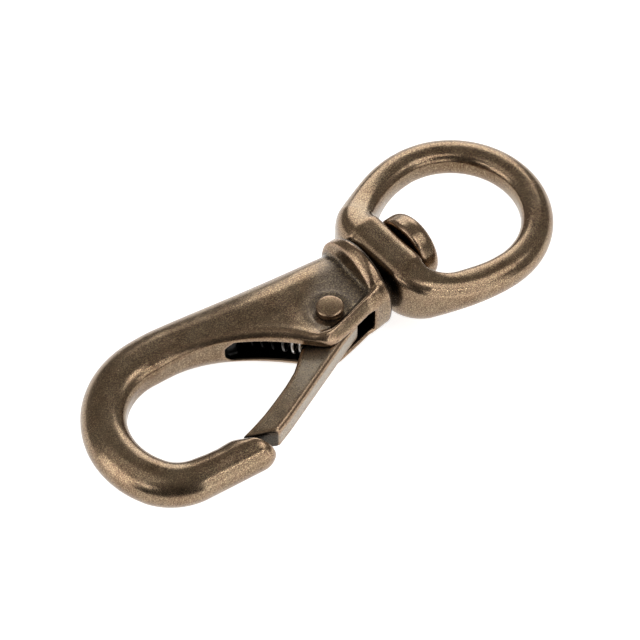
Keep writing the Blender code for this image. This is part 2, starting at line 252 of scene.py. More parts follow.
def skin(field):
    """Points, in grid places, and quads of the field's zero surface."""
    shape = np.array(field.shape) - 1
    corner = [field[i:i + shape[0], j:j + shape[1], k:k + shape[2]] for i, j, k in CUBE]
    below = sum((c < 0.0).astype(np.int8) for c in corner)
    cells = np.argwhere((below > 0) & (below < 8))
    number = np.full(shape, -1)
    number[tuple(cells.T)] = np.arange(len(cells))
    values = np.array([c[tuple(cells.T)] for c in corner])
    total = np.zeros((len(cells), 3))
    count = np.zeros(len(cells))
    for a, b in CUBE_EDGES:
        crossed = (values[a] < 0.0) != (values[b] < 0.0)
        change = values[a] - values[b]
        t = np.where(crossed, values[a] / np.where(crossed, change, 1.0), 0.0)
        point = np.array(CUBE[a]) + t[:, None] * (np.array(CUBE[b]) - np.array(CUBE[a]))
        total += np.where(crossed[:, None], point, 0.0)
        count += crossed
    points = cells + total / count[:, None]
    for _ in range(SURFACE_ROUNDS):
        gradient = slope(field, points)
        size = np.maximum((gradient ** 2).sum(1), 1e-6)
        move = gradient * (sample(field, points) / size)[:, None]
        points = points - np.clip(move, -SURFACE_MOVE, SURFACE_MOVE)
    quads = []
    for axis in range(3):
        u, v = (axis + 1) % 3, (axis + 2) % 3
        low = [slice(1, -1)] * 3
        low[axis] = slice(0, -1)
        high = list(low)
        high[axis] = slice(1, None)
        first = field[tuple(low)] < 0.0
        second = field[tuple(high)] < 0.0
        places = np.argwhere(first != second) + 1
        places[:, axis] -= 1
        leaving = first[first != second]
        ring = []
        for du, dv in ((-1, -1), (0, -1), (0, 0), (-1, 0)):
            cell = places.copy()
            cell[:, u] += du
            cell[:, v] += dv
            ring.append(number[tuple(cell.T)])
        ring = np.array(ring).T
        quads.append(np.where(leaving[:, None], ring, ring[:, ::-1]))
    return points, np.vstack(quads)


def relax(values, quads, rounds):
    """Values at the points, each drawn towards the mean of its neighbours."""
    pairs = np.vstack([quads[:, [i, (i + 1) % 4]] for i in range(4)])
    count = np.bincount(pairs[:, 0], minlength=len(values)).astype(float)
    out = np.array(values, float)
    for _ in range(rounds):
        mean = np.stack([np.bincount(pairs[:, 0], out[pairs[:, 1], axis], len(out))
                         for axis in range(out.shape[1])], axis=1) / count[:, None]
        out = 0.5 * out + 0.5 * mean
    return out


def edge_wear_and_shade(field, points, step):
    """How much each point stands out: 0.5 on the flat, more on edges and less in corners; it marks
    copper wear on the edges and painted shade in the corners.
    """
    gradient = slope(field, points)
    size = np.maximum(np.linalg.norm(gradient, axis=1), 1e-6)
    normal = gradient / size[:, None]
    limit = np.array(field.shape) - 1.001
    wear_and_shade = np.zeros(len(points))
    for reach in WEAR_AND_SHADE_REACHES:
        for axis in range(3):
            side = np.zeros(3)
            side[axis] = 1.0
            tangent = side - normal * normal[:, axis:axis + 1]
            for sign in (-1.0, 1.0):
                place = np.clip(points + sign * reach / step * tangent, 0.0, limit)
                wear_and_shade += sample(field, place) / (8.0 * reach * np.maximum(size / step, 0.2))
    return np.clip(0.5 + wear_and_shade, 0.0, 1.0)


def casting(name, field, low, step, body, node, material, tints=None, turn_deg=0.0):
    """The field's surface as a smooth piece, turned about the swivel axis, for one node."""
    points, quads = skin(field)
    wear_and_shade = relax(edge_wear_and_shade(field, points, step)[:, None], quads, WEAR_AND_SHADE_RELAX_ROUNDS)[:, 0]
    points = relax(points, quads, POINT_RELAX_ROUNDS)
    drawing = np.array(low) + points * step
    turn = math.radians(turn_deg)
    y = drawing[:, 1] * math.cos(turn) - drawing[:, 2] * math.sin(turn)
    z = drawing[:, 1] * math.sin(turn) + drawing[:, 2] * math.cos(turn)
    drawing = np.stack([drawing[:, 0], y, z], axis=1)
    mesh = bpy.data.meshes.new(name)
    mesh.from_pydata((drawing * MM + ORIGIN).tolist(), [], quads.tolist())
    # The stand-out layer drives copper edge wear and painted corner shade in the material.
    layers = {"wear_and_shade": wear_and_shade}
    if tints:
        layers.update(tints(*drawing.T))
    for layer, values in layers.items():
        made = mesh.attributes.new(layer, "FLOAT", "POINT")
        made.data.foreach_set("value", np.asarray(values, np.float32))
    mesh.shade_smooth()
    piece(name, mesh, body, node, material)


def piece(name, mesh, body, node, material):
    """Link a mesh as a visible piece that rides on a body, if one is given, for a node."""
    made = bpy.data.objects.new(name, mesh)
    bpy.context.scene.collection.objects.link(made)
    mesh.materials.append(material)
    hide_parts(node)
    if body:
        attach(made, body)
    return made


# The hook's casting.

# Rounding of the bar's section as (width, height) along each edge: the bow's, what the housing takes
# off or adds, what the chin below the pivot adds, and what the lower inner edge adds.
OUTER_ROUND = 3.5
OUTER_ROUND_HOUSING = 1.6
OUTER_THIN_HOUSING = 0.04
INNER_ROUND = (2.8, 2.5)
INNER_CRISP = (1.7, 1.35)
INNER_CHIN = (0.3, 0.55)
UPPER_EXTRA = (0.0, 0.0)
LOWER_EXTRA = (0.95, 1.6)
BAR_POWER = 2.0
CHIN_POWER = 0.62
BAR_END_X = 9.4
BAR_END_EDGE = 0.3
SLOT_EDGE = 0.3
SLOT_TAPER = 0.95
SLOT_TAPER_X = -13.2
SEAT_EDGE = 0.35
PIT_EDGE = 0.12

# The collar along its axis: where, half height and half width; square at the neck, round at the rim.
COLLAR_X = [0.0, 5.0, 7.2, 7.7, 8.2, 8.7, 9.2, 9.6, 9.85, 10.0]
COLLAR_HEIGHT = [5.0, 5.0, 5.15, 5.7, 6.4, 6.9, 7.13, 7.08, 6.9, 6.6]
COLLAR_WIDTH = [5.6, 6.0, 6.55, 6.65, 6.8, 6.95, 7.13, 7.08, 6.9, 6.6]
COLLAR_NECK_POWER = 3.0
COLLAR_FACE_EDGE = 0.35
COLLAR_STEP_EDGE = 0.15
COLLAR_STEP_SLOPE = 0.14

def turn_centre():
    """The centre of the tighter bend between bow and nose."""
    inward = math.radians(BOW_END_DEG)
    reach = BOW_RADIUS - TURN_RADIUS
    return (BOW_CENTRE[0] + reach * math.cos(inward), BOW_CENTRE[1] + reach * math.sin(inward))


def nose_point(along, across):
    """A place on the nose: along its heading from the turn, and across towards the opening."""
    heading = math.radians(NOSE_HEADING_DEG)
    start = arc(turn_centre(), TURN_RADIUS, NOSE_TURN_DEG, NOSE_TURN_DEG, 1)[0]
    return (start[0] + along * math.cos(heading) - across * math.sin(heading),
            start[1] + along * math.sin(heading) + across * math.cos(heading))


def hook_rails():
    """The hook's outer edge, round the nose's end, and its inner edge, both from the collar on."""
    spine = BOW_RADIUS + BAR_HALF_SPINE
    spine_in = BOW_RADIUS - BAR_HALF_SPINE
    wide = BOW_RADIUS + BAR_HALF_BOW
    wide_in = BOW_RADIUS - BAR_HALF_BOW
    joined_deg = BOW_NARROW_DEG + 3.0
    bend_deg = BOW_END_DEG + 3.0
    spine_top = [(13.0, 5.7), (9.0, 6.1), (3.0, 6.95), (-1.2, 7.65), (-5.4, 8.4), (-8.4, 9.0),
                 (-11.6, 9.7), (-14.8, 10.4), (-18.4, 11.1), (-21.5, 11.58)]
    bow = arc(BOW_CENTRE, spine, BOW_START_DEG, BOW_NARROW_DEG, 20, wide)
    outer = through(spine_top + bow[:1]) + bow[1:]
    outer += arc(BOW_CENTRE, wide, joined_deg, BOW_END_DEG, 19)
    outer += arc(turn_centre(), TURN_RADIUS + BAR_HALF_BOW, bend_deg, NOSE_TURN_DEG, 18,
                 TURN_RADIUS + BAR_HALF_NOSE)
    outer += arc(nose_point(NOSE_STRAIGHT, 0.0), BAR_HALF_NOSE, NOSE_HEADING_DEG - 90.0,
                 NOSE_HEADING_DEG + 90.0, 24)
    inner = arc(turn_centre(), TURN_RADIUS - BAR_HALF_NOSE, NOSE_TURN_DEG, bend_deg, 18,
                TURN_RADIUS - BAR_HALF_BOW)
    inner += arc(BOW_CENTRE, wide_in, BOW_END_DEG, joined_deg, 19)
    inner += arc(BOW_CENTRE, wide_in, BOW_NARROW_DEG, BOW_START_DEG, 20, spine_in)
    wall = [(-21.0, 3.95), (-17.3, 2.95), (-13.6, 1.15), (-10.4, -1.1), (-7.6, -3.65),
            (-5.2, -6.35), (-3.75, -7.9), (-2.9, -8.45), (-1.9, -8.65), (-0.8, -8.6), (3.0, -7.95),
            (9.0, -6.7), (13.0, -6.2)]
    sag = [nose_point(along, BAR_HALF_NOSE - dip)
           for along, dip in ((6.5, 0.12), (4.0, 0.35), (2.0, 0.25))]
    inner = [outer[-1]] + sag + inner[:-1] + through([inner[-1]] + wall)
    return outer, inner[::-1]


def dish_outline():
    """The flat dish round the pivot, from the collar's step to the soft edge on the spine."""
    edge = [(8.3, 5.8), (6.0, 4.2), (1.5, 1.3), (-1.9, -1.3), (-3.2, -3.9), (-3.1, -5.7),
            (-1.6, -6.75), (1.2, -6.5), (4.2, -5.75), (6.3, -5.15)]
    return through(edge, 6) + [(7.05, -4.6), COLLAR_STEP]


def slot_outline():
    """The slot between the cheeks, open towards the gate, in the drawing plane."""
    return [(SLOT_END_X, -12.0), (SLOT_END_X, 3.0), (-7.0, 3.4), (-8.7, 4.5), (-11.9, 2.0),
            (-13.6, 2.6), (-14.5, 1.6), (-16.5, -3.0), (-10.0, -12.0)]


def collar_field(x, y, z):
    """The flange: a round rim that hollows down to a flatter neck, with a step towards the dish."""
    tall = np.interp(x, COLLAR_X, COLLAR_HEIGHT)
    wide = np.interp(x, COLLAR_X, COLLAR_WIDTH)
    power = COLLAR_NECK_POWER - smooth_step(7.2, 9.2, x)
    reach = ((np.abs(y) / wide) ** power + (np.abs(z) / tall) ** power) ** (1.0 / power)
    ring = smooth_max(0.9 * tall * (reach - 1.0), x - COLLAR_FACE_X, COLLAR_FACE_EDGE)
    foot = COLLAR_STEP[0] + COLLAR_STEP_LEAN * (y - COLLAR_STEP[1])
    lean = COLLAR_STEP_SLOPE * np.clip(np.abs(z) - DISH_Z, 0.0, None)
    return smooth_max(ring, foot + lean - x, COLLAR_STEP_EDGE)


def cheek_height(px, py, from_inner):
    """Half thickness over the drawing plane: bar, cheeks, raised rim, soft dish and spot face."""
    opening = (py < NOSE_SIDE_Y) & (px < NOSE_SIDE_X)
    grow = np.where(opening, 0.0, smooth_step(-21.0, -4.5, px))
    half = BAR_HALF_THICK + (CHEEK_HALF_THICK - BAR_HALF_THICK) * grow
    rim = np.exp(-((from_inner - 1.2) / 0.5) ** 2)
    rim_height = 0.05 * smooth_step(-16.0, -9.0, px) + 0.3 * smooth_step(-4.0, 3.0, px)
    half = half + rim * rim_height * (py > -10.0)
    dish = outline_distance(dish_outline(), px, py)
    spine_side = smooth_step(-4.4, -1.6, 0.81 * py - 0.58 * px)
    softness = 0.55 + 3.2 * spine_side
    sunk = 1.0 - smooth_step(-0.55, 1.0, dish / softness)
    half = half - (half - DISH_Z) * sunk
    spot = np.hypot(px - PIVOT[0], py - PIVOT[1])
    spot_face = 0.14 * (1.0 - smooth_step(2.15, 3.1, spot))
    spot_lip = 0.05 * np.exp(-((spot - 3.3) / 0.5) ** 2)
    return half - spot_face + spot_lip


def nose_seat(x, y):
    """How far a place lies beyond the nose's cut, on which the gate's end rests."""
    return ((x - NOSE_SEAT[0]) * NOSE_SEAT_FACING[0]
            + (y - NOSE_SEAT[1]) * NOSE_SEAT_FACING[1])


def hook_field(x, y, z):
    """The whole casting: rounded bar, cheeks, dish, collar, slot and bores."""
    px, py = flat_grid(x, y)

    # How far each place is from either edge, negative outside.
    outer, inner = hook_rails()
    to_outer = line_distance(outer, px, py)
    to_inner = line_distance(inner, px, py)
    inside = is_inside(outer + inner[::-1], px, py)
    from_outer = np.where(inside | (to_inner < to_outer), to_outer, -to_outer)
    from_inner = np.where(inside | (to_outer <= to_inner), to_inner, -to_inner)

    # How much of the housing's, the crisp edge's and the chin's shape each place has.
    clear = (py > NOSE_SIDE_Y) | (px > NOSE_SIDE_X)
    housing = smooth_step(-24.0, -10.0, px) * clear
    crisp = smooth_step(-29.0, -15.0, px) * clear
    chin = smooth_step(-4.5, -1.0, px)
    half = cheek_height(px, py, from_inner)

    # The section blends from the inner edge's rounding to the outer edge's.
    depth_in = np.clip(from_inner, 0.0, None)
    share = depth_in / (depth_in + np.clip(from_outer, 0.0, None) + 1e-6)
    blend = smooth_step(0.15, 0.75, share)
    round_out = OUTER_ROUND + OUTER_ROUND_HOUSING * housing
    tall_out = half * (1.0 - OUTER_THIN_HOUSING * housing)
    a_out = np.clip(1.0 - from_outer / round_out, 0.0, None)
    power = BAR_POWER - CHIN_POWER * chin * (share < 0.5)
    faces = []
    for extra_round, extra_tall in (UPPER_EXTRA, LOWER_EXTRA):
        round_in = (INNER_ROUND[0] - INNER_CRISP[0] * crisp
                    + extra_round * crisp * (1.0 - chin) + INNER_CHIN[0] * chin)
        tall_in = (INNER_ROUND[1] - INNER_CRISP[1] * crisp
                   + extra_tall * crisp * (1.0 - chin) + INNER_CHIN[1] * chin)
        tall = tall_in + (tall_out - tall_in) * blend
        a_in = np.clip(1.0 - from_inner / round_in, 0.0, None)
        lateral = (a_in ** power + a_out ** power)[:, :, None]
        scale = np.minimum(np.minimum(round_in, round_out), tall)[:, :, None]
        up = np.clip(np.abs(z) - (half - tall)[:, :, None], 0.0, None) / tall[:, :, None]
        rounded = (lateral + up ** power[:, :, None]) ** (1.0 / power[:, :, None])
        faces.append((rounded - 1.0) * scale)
    bar = np.where(z > 0.0, faces[0], faces[1])
    bar = smooth_max(bar, x - BAR_END_X, BAR_END_EDGE)
    body = smooth_min(bar, collar_field(x, y, z), 0.45 + 1.5 * smooth_step(-5.0, -6.6, y))

    # The slot, the nose's cut, the bores and the pits are taken out of it.
    slot = outline_distance(slot_outline(), px, py)[:, :, None]
    ceiling = (SLOT_HALF - SLOT_TAPER * np.clip(SLOT_TAPER_X - px, 0.0, None))[:, :, None]
    body = smooth_max(body, -smooth_max(slot, np.abs(z) - ceiling, SLOT_EDGE), SLOT_EDGE)
    nose = (px > -27.0) & (py < -9.0)
    far_inside = -20.0
    seat = np.where(nose, nose_seat(px, py), far_inside)[:, :, None]
    body = smooth_max(body, seat, SEAT_EDGE)
    spot = np.hypot(px - PIVOT[0], py - PIVOT[1])
    bore = (PIN_RADIUS + PIN_FIT - spot)[:, :, None]
    body = np.maximum(body, bore)
    for pit_x, pit_y, pit_z in PITS:
        hole = PIT_RADIUS - np.sqrt((x - pit_x) ** 2 + (y - pit_y) ** 2 + (z - pit_z) ** 2)
        body = smooth_max(body, hole, PIT_EDGE)
    shank = STUD_RADIUS + STUD_FIT - np.sqrt(y * y + z * z)
    return np.maximum(body, np.minimum(shank, x - SLOT_END_X + 1.0))


def hook_tints(x, y, z):
    """Where the hook is dull in the dish, and black as painted shade in the slot, in the collar's
    gap and on the hidden seat.
    """
    dish = outline_distance(dish_outline(), x, y)
    dull = (1.0 - smooth_step(-1.6, 1.4, dish)) * (x < 7.6) * (np.abs(z) < 5.3)
    slot = outline_distance(slot_outline(), x, y)
    wall = line_distance(hook_rails()[1], x, y)
    # Painted shade: the slot's inside, away from the inner wall, is coloured black.
    painted_shade = (1.0 - smooth_step(0.1, 0.4, slot)) * (1.0 - smooth_step(2.05, 2.25, np.abs(z)))
    painted_shade = painted_shade * smooth_step(0.12, 0.5, wall)
    # Painted shadow: the collar's face in the gap to the eye is darkened.
    gap = (x > COLLAR_FACE_X - 0.6) * 0.8
    # Painted shade: the hidden seat under the gate's end is darkened.
    seat = smooth_step(0.3, 0.0, np.abs(nose_seat(x, y))) * (y < -12.0) * 0.8
    return {"dull": dull * (1.0 - painted_shade), "painted_shade": np.maximum(np.maximum(painted_shade, gap), seat)}


def hook_body(material):
    """The hook's casting as a visible piece."""
    step = 0.2
    low = (-42.6, -19.0, -8.0)
    high = (11.0, 12.8, 8.0)
    field = hook_field(*axes(low, high, step))
    casting("hook_casting", field, low, step, "hook", "hook_body", material, hook_tints)


# The gate.

GATE_BACK = [(-18.3, -15.55), (-0.5, -8.55), (3.0, -7.5)]
GATE_EDGE = 0.28
GATE_BACK_EDGE = 0.62
GATE_LOWER_EDGE = 0.3
GATE_TAPER = 0.12


def gate_outline():
    """The lever in the drawing plane: end, back, heel, boss and curved flank."""
    outer = GATE_END + [(-18.2, -15.4), (-15.5, -14.5), (-0.5, -8.6)]
    heel = arc((2.5, -6.55), 1.0, -85.0, 10.0, 6)
    boss = arc(PIVOT, 2.9, 0.0, SPRING_AXIS_DEG, 14)
    flank = through([boss[-1], (-8.6, -7.45), (-10.6, -8.65), (-12.8, -9.65), (-17.3, -11.3),
                     (-20.2, -12.12), GATE_END[0]], 5)
    return outer + heel + boss + flank[1:-1]


def gate_field(x, y, z):
    """The lever: flat sides with small edges, and a wide rounding on the upper outer one."""
    px, py = flat_grid(x, y)
    edge = outline_distance(gate_outline(), px, py)
    back = line_distance(GATE_BACK, px, py)
    ease = GATE_EDGE + GATE_BACK_EDGE * (1.0 - smooth_step(0.3, 2.2, back))
    half = GATE_HALF - GATE_TAPER * np.clip(back - 0.9, 0.0, 3.0) * smooth_step(-1.5, -5.5, px)
    ease = np.where(z > 0.0, ease[:, :, None], GATE_LOWER_EDGE)
    side = np.clip(edge[:, :, None] + ease, 0.0, None)
    up = np.clip(np.abs(z) - half[:, :, None] + ease, 0.0, None)
    flat = np.minimum(np.maximum(edge[:, :, None], np.abs(z) - half[:, :, None]), 0.0)
    lever = np.sqrt(side ** 2 + up ** 2) - ease
    lever = np.where(lever > 1e-6 - ease, lever, flat - ease)
    bore = PIN_RADIUS + GATE_PIN_FIT - np.hypot(px - PIVOT[0], py - PIVOT[1])
    return np.maximum(lever, bore[:, :, None])


def gate_tints(x, y, z):
    """Paler on the tumbled flats and flank, and darkened with painted shade on the end that meets
    the nose.
    """
    edge = outline_distance(gate_outline(), x, y)
    near = smooth_step(-15.0, -8.0, x)
    flats = (1.0 - smooth_step(-0.9, -0.35, edge)) * (0.15 + 0.55 * near)
    flank = (1.0 - smooth_step(0.6, 1.1, np.abs(z))) * (edge > -0.4) * (0.35 + 0.5 * near)
    # Painted shade: the end face that meets the nose is darkened.
    end = line_distance(GATE_END, x, y)
    dark = (1.0 - smooth_step(0.1, 0.35, end)) * 0.85
    return {"pale": np.maximum(flats, flank), "painted_shade": dark}


def gate(material):
    """The gate as a visible piece that turns with the lever."""
    step = 0.14
    low = (-23.8, -16.2, -2.6)
    high = (4.6, -0.2, 2.6)
    field = gate_field(*axes(low, high, step))
    casting("gate_lever", field, low, step, "lever", "gate", material, gate_tints)


# The swivel eye.

def eye_line():
    """Half of the eye's centre line: (place, half width, half thickness, squareness) rows."""
    base_x = (EYE_BASE_X[0] + EYE_BASE_X[1]) / 2.0
    base_half = (EYE_BASE_X[1] - EYE_BASE_X[0]) / 2.0
    side_deg = 90.0 + EYE_SIDE_DEG
    side_centre = (EYE_END_CENTRE_X, EYE_HALF_WIDTH - EYE_SIDE_RADIUS)
    end = arc(side_centre, EYE_SIDE_RADIUS, side_deg, side_deg, 1)[0]
    radius = (end[0] - base_x) / (1.0 + math.cos(math.radians(side_deg)))
    corner = (base_x + radius, end[1] - radius * math.sin(math.radians(side_deg)))
    base_power = 3.6
    corner_power = 0.9
    corner_narrow = 0.15
    corner_thin = 0.9
    corner_steps = 14
    side_steps = 24
    line = [((base_x, y), base_half, EYE_BASE_HALF_THICK, base_power)
            for y in np.linspace(0.0, corner[1], 8)[:-1]]
    for i, point in enumerate(arc(corner, radius, 180.0, side_deg, corner_steps)):
        share = i / corner_steps
        line.append((point, base_half - corner_narrow * share,
                     EYE_BASE_HALF_THICK - corner_thin * share, base_power - corner_power * share))
    side = arc(side_centre, EYE_SIDE_RADIUS, side_deg, 90.0, side_steps)
    for i, point in enumerate(side[1:], start=1):
        fade = (1.0 - i / side_steps) ** 2
        half = EYE_WIRE_RADIUS + (base_half - corner_narrow - EYE_WIRE_RADIUS) * fade
        tall = EYE_WIRE_RADIUS + (EYE_BASE_HALF_THICK - corner_thin - EYE_WIRE_RADIUS) * fade ** 1.6
        line.append((point, half, tall, 2.1 + 0.6 * fade))
    for point in arc((EYE_END_CENTRE_X, 0.0), EYE_HALF_WIDTH, 90.0, 0.0, 40)[1:]:
        line.append((point, EYE_WIRE_RADIUS, EYE_WIRE_RADIUS, 2.0))
    return line


def eye_field(x, y, z):
    """The ring and its base bar: one closed bar, hollowed in one arm and waisted in the other."""
    px, py = flat_grid(x, y)
    mirrored = np.abs(py)
    line = eye_line()
    nearest = np.full(px.shape, 1e9)
    half = np.zeros(px.shape)
    tall = np.zeros(px.shape)
    power = np.zeros(px.shape)
    for (a, half_a, tall_a, power_a), (b, half_b, tall_b, power_b) in zip(line, line[1:]):
        dx = b[0] - a[0]
        dy = b[1] - a[1]
        t = np.clip(((px - a[0]) * dx + (mirrored - a[1]) * dy) / (dx * dx + dy * dy), 0.0, 1.0)
        distance = np.hypot(px - a[0] - t * dx, mirrored - a[1] - t * dy)
        closer = distance < nearest
        nearest = np.where(closer, distance, nearest)
        half = np.where(closer, half_a + (half_b - half_a) * t, half)
        tall = np.where(closer, tall_a + (tall_b - tall_a) * t, tall)
        power = np.where(closer, power_a + (power_b - power_a) * t, power)
    inward = is_inside([station[0] for station in line] + [(line[0][0][0], -1.0)], px, mirrored)
    power = np.where(inward, np.maximum(2.1, 1.25 * power), power)
    hollow = np.exp(-((px - 18.6) / 3.0) ** 2)
    half = half - 1.0 * (inward & (py < 0.0)) * hollow * smooth_step(-4.0, -8.0, py)
    waist = np.exp(-((px - 18.5) / 5.0) ** 2)
    half = half - 0.45 * (~inward & (py > 4.0)) * waist
    across = (nearest / half)[:, :, None]
    up = np.abs(z) / tall[:, :, None]
    power = power[:, :, None]
    rounded = (across ** power + up ** power) ** (1.0 / power)
    ring = (rounded - 1.0) * np.minimum(half, tall)[:, :, None]
    bore = STUD_RADIUS + EYE_STUD_FIT - np.sqrt(y * y + z * z)
    return smooth_max(ring, np.minimum(bore, 25.0 - x), 0.3)


def swivel_eye(material):
    """The eye as a visible piece that turns about the swivel axis."""
    step = 0.2
    low = (10.2, -16.0, -5.6)
    high = (44.2, 16.0, 5.6)
    field = eye_field(*axes(low, high, step))
    casting("eye_casting", field, low, step, "eye", "swivel_eye", material,
            turn_deg=EYE_REST_DEG)


# The rivets and the spring.

def pivot_rivet_field(x, y, z):
    """The rivet: low, slightly uneven pressed heads on a straight shank."""
    dx = x - PIVOT[0]
    dy = y - PIVOT[1]
    turn = np.arctan2(dy, dx)
    uneven = 1.0 + 0.015 * np.cos(2.0 * turn + 0.6) + 0.012 * np.cos(3.0 * turn + 1.9)
    radial = np.hypot(dx, dy) / uneven
    under = DISH_Z - 0.02
    dome = PIN_HEAD_HEIGHT + 0.12 * np.clip(1.0 - (radial / PIN_HEAD_RADIUS) ** 2, 0.0, 1.0)
    lean = 0.03 * dx - 0.02 * dy
    top = np.abs(z) - (under + dome + lean)
    rim = smooth_max(radial - PIN_HEAD_RADIUS, top, 0.32)
    head = smooth_max(rim, under - np.abs(z), 0.05)
    shank = np.maximum(np.hypot(dx, dy) - PIN_RADIUS, np.abs(z) - under - 0.1)
    return np.minimum(head, shank)


def pivot_rivet(material):
    """The gate's rivet as a visible piece."""
    step = 0.09
    low = (-2.0, -6.6, -4.9)
    high = (3.4, -1.2, 4.9)
    field = pivot_rivet_field(*axes(low, high, step))
    casting("pivot_rivet", field, low, step, "hook", "gate_pivot_rivet", material)


def swivel_rivet_field(x, y, z):
    """The stud: thick rounded head, shank, and a tail flattened inside the slot."""
    radial = np.sqrt(y * y + z * z)
    head_low = EYE_BASE_X[1] + STUD_HEAD_FIT
    head_high = head_low + STUD_HEAD_LENGTH
    crown = head_high + 0.12 - 0.006 * radial ** 2
    rim = smooth_max(radial - STUD_HEAD_RADIUS, x - crown, 1.5)
    head = smooth_max(rim, head_low - x, 0.7)
    shank = np.maximum(np.maximum(radial - STUD_RADIUS, x - head_low - 0.6), 5.0 - x)
    tail_x = SLOT_END_X - STUD_TAIL_FIT - STUD_TAIL_HALF_LENGTH
    tail_side = np.maximum(np.abs(y) - STUD_TAIL_HALF[0], np.abs(z) - STUD_TAIL_HALF[1])
    tail = np.maximum(np.abs(x - tail_x) - STUD_TAIL_HALF_LENGTH, tail_side)
    return np.minimum(smooth_min(head, shank, 0.2), tail)


def swivel_rivet(material):
    """The swivel's stud as a visible piece, fixed in the hook."""
    step = 0.13
    low = (4.2, -5.8, -5.8)
    high = (21.9, 5.8, 5.8)
    field = swivel_rivet_field(*axes(low, high, step))
    casting("swivel_stud", field, low, step, "hook", "swivel_rivet", material)


def coil_point(turns, total):
    """The wire's centre after some turns: the end turns lie closer together."""
    share = turns / total
    closing = 0.5 - 0.5 * math.cos(math.pi * share)
    inset = 0.25
    along = inset + (SPRING_LENGTH - 2.0 * inset) * (0.72 * share + 0.28 * closing)
    angle = 2.0 * math.pi * turns
    u = SPRING_RADIUS * math.cos(angle)
    v = SPRING_RADIUS * math.sin(angle)
    heading = math.radians(SPRING_AXIS_DEG)
    return (SPRING_FOOT[0] + along * math.cos(heading) - u * math.sin(heading),
            SPRING_FOOT[1] + along * math.sin(heading) + u * math.cos(heading), v)


def gate_spring(material):
    """The coil as a fine tube that is squeezed between the gate and the slot's back wall."""
    sides = 12
    per_turn = 36
    total = SPRING_TURNS + 0.5
    steps = int(per_turn * total)
    line = [Vector(coil_point(i / per_turn, total)) for i in range(steps + 1)]
    mesh = bpy.data.meshes.new("coil_spring")
    bm = bmesh.new()
    rings = []
    for i, point in enumerate(line):
        forward = (line[min(i + 1, steps)] - line[max(i - 1, 0)]).normalized()
        side = forward.cross(Vector((0.0, 0.0, 1.0))).normalized()
        upward = side.cross(forward)
        ring = []
        for j in range(sides):
            angle = 2.0 * math.pi * j / sides
            spoke = math.cos(angle) * side + math.sin(angle) * upward
            place = point + SPRING_WIRE_RADIUS * spoke
            ring.append(bm.verts.new(Vector(ORIGIN) + place * MM))
        rings.append(ring)
    for first, second in zip(rings, rings[1:]):
        for j in range(sides):
            bm.faces.new((first[j], first[(j + 1) % sides], second[(j + 1) % sides], second[j]))
    bm.faces.new(rings[0][::-1])
    bm.faces.new(rings[-1])
    bmesh.ops.recalc_face_normals(bm, faces=bm.faces)
    bm.to_mesh(mesh)
    bm.free()
    # How far along the coil each ring lies, by which the material paints the far turns black as
    # shade.
    depth = mesh.attributes.new("depth", "FLOAT", "POINT")
    shares = np.repeat(np.arange(steps + 1) / steps, sides)
    depth.data.foreach_set("value", shares.astype(np.float32))
    mesh.shade_smooth()
    made = piece("coil_spring", mesh, None, "gate_spring", material)
    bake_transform(made)


# Materials. Colours are linear.

PLATING = ((0.135, 0.079, 0.043), (0.232, 0.172, 0.113))
PLATING_ROUGHNESS = 0.21
RUBBED = ((0.19, 0.125, 0.075), (0.31, 0.215, 0.13))
RUBBED_ROUGHNESS = 0.27
PATCH_BROWN = (0.22, 0.137, 0.085)
WORN_COPPER = (0.29, 0.19, 0.125)
TUMBLED_GREY = (0.36, 0.325, 0.275)
DULL_GREY = (0.130, 0.110, 0.095)
# Painted shade for the castings' corners and creases.
CORNER_SHADE = (0.05, 0.04, 0.033)
GOLD_FLECK = (0.47, 0.37, 0.22)
DARK_PORE = (0.035, 0.024, 0.015)
# Painted shade: near-black used for hidden insides, gaps and the spring's far turns.
SHADE_BLACK = (0.004, 0.004, 0.004)
WIRE_TARNISHED = (0.40, 0.38, 0.36)
WIRE_BRIGHT = (0.80, 0.79, 0.77)
TABLE_SHADES = ((0.93, 0.93, 0.93), (0.95, 0.95, 0.95))
TABLE_GLOW = 0.8
CLOUD_MM = 4.5
PATCH_MM = 1.5
SPECK_MM = 0.17
WAVE_MM = 3.2
DIMPLE_MM = 0.6
PALE_SHARE = 0.85
DULL_SHARE = 0.8
PALE_ROUGHNESS = 0.14
DULL_ROUGHNESS = 0.16
WAVE_DEPTH_MM = 0.018
DIMPLE_DEPTH_MM = 0.005
SPECK_DEPTH_MM = 0.004
COAT_WEIGHT = 0.22
COAT_ROUGHNESS = 0.3


